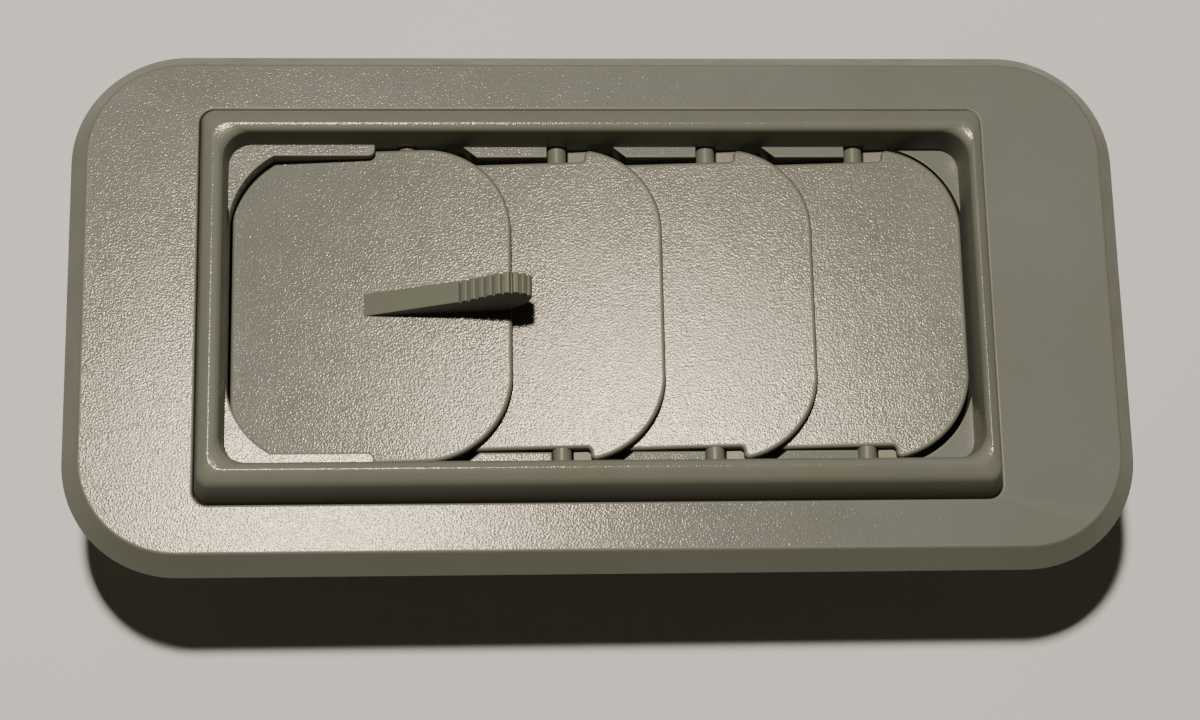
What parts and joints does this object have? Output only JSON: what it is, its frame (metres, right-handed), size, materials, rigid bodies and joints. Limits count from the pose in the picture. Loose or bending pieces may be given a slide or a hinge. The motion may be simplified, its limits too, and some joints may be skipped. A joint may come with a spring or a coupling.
{
  "type": "louvre_air_vent",
  "caption": "Hand-set louvre air vent with a bevelled wall plate, raised louvre frame, linked swinging blades, a thumb lever and a short rear duct",
  "frame": {"origin": "middle of the rear end of the duct sleeve, at the bottom of the bounding box", "axes": "+X along the plate towards the blades' swinging edges, +Y up the wall, +Z out of the wall into the room"},
  "size_m": [0.2382, 0.1216, 0.0608],
  "materials": {
    "grained_plastic": "fine sparkling moulded grain",
    "smooth_plastic": "smooth moulded",
    "nylon": "natural nylon",
    "foam": "closed-cell foam strip",
    "rubber": "moulded rubber",
    "steel": "zinc plated"
  },
  "bodies": {
    "root": {"face_plate": "grained_plastic", "louvre_frame": "grained_plastic", "rear_duct": "smooth_plastic", "wall_gasket": "foam", "friction_ring_upper": "rubber", "friction_ring_lower": "rubber", "spring_clip_left": "steel", "clip_screw_left_upper": "steel", "clip_screw_left_lower": "steel", "spring_clip_right": "steel", "clip_screw_right_upper": "steel", "clip_screw_right_lower": "steel", "frame_screw_1": "steel", "frame_screw_2": "steel", "frame_screw_3": "steel", "frame_screw_4": "steel", "frame_screw_5": "steel", "frame_screw_6": "steel", "frame_screw_7": "steel", "frame_screw_8": "steel"},
    "blade_1": {"blade_1": "grained_plastic", "thumb_lever": "smooth_plastic", "link_clip_1": "steel"},
    "blade_2": {"blade_2": "grained_plastic", "link_clip_2": "steel"},
    "blade_3": {"blade_3": "grained_plastic", "link_clip_3": "steel"},
    "blade_4": {"blade_4": "grained_plastic", "link_clip_4": "steel"},
    "link_bar": {"link_bar": "nylon"}
  },
  "joints": [
    {"name": "blade_1_hinge", "type": "hinge", "parent": "root", "child": "blade_1", "pos_m": [-0.0432, 0, 0.0429], "axis": [0, -1, 0], "range_deg": [0, 85]},
    {"name": "blade_2_hinge", "type": "hinge", "parent": "root", "child": "blade_2", "pos_m": [-0.0093, 0, 0.0429], "axis": [0, -1, 0], "range_deg": [0, 85]},
    {"name": "blade_3_hinge", "type": "hinge", "parent": "root", "child": "blade_3", "pos_m": [0.0246, 0, 0.0429], "axis": [0, -1, 0], "range_deg": [0, 85]},
    {"name": "blade_4_hinge", "type": "hinge", "parent": "root", "child": "blade_4", "pos_m": [0.0585, 0, 0.0429], "axis": [0, -1, 0], "range_deg": [0, 85]},
    {"name": "link_bar_pivot", "type": "hinge", "parent": "blade_1", "child": "link_bar", "pos_m": [-0.06576, 0.02345, 0.03691], "axis": [0, -1, 0], "range_deg": [-85, 0]}
  ],
  "couplings": [
    {"joint": "blade_2_hinge", "follows": "blade_1_hinge", "ratio": 1},
    {"joint": "blade_3_hinge", "follows": "blade_1_hinge", "ratio": 1},
    {"joint": "blade_4_hinge", "follows": "blade_1_hinge", "ratio": 1},
    {"joint": "link_bar_pivot", "follows": "blade_1_hinge", "ratio": -1}
  ]
}
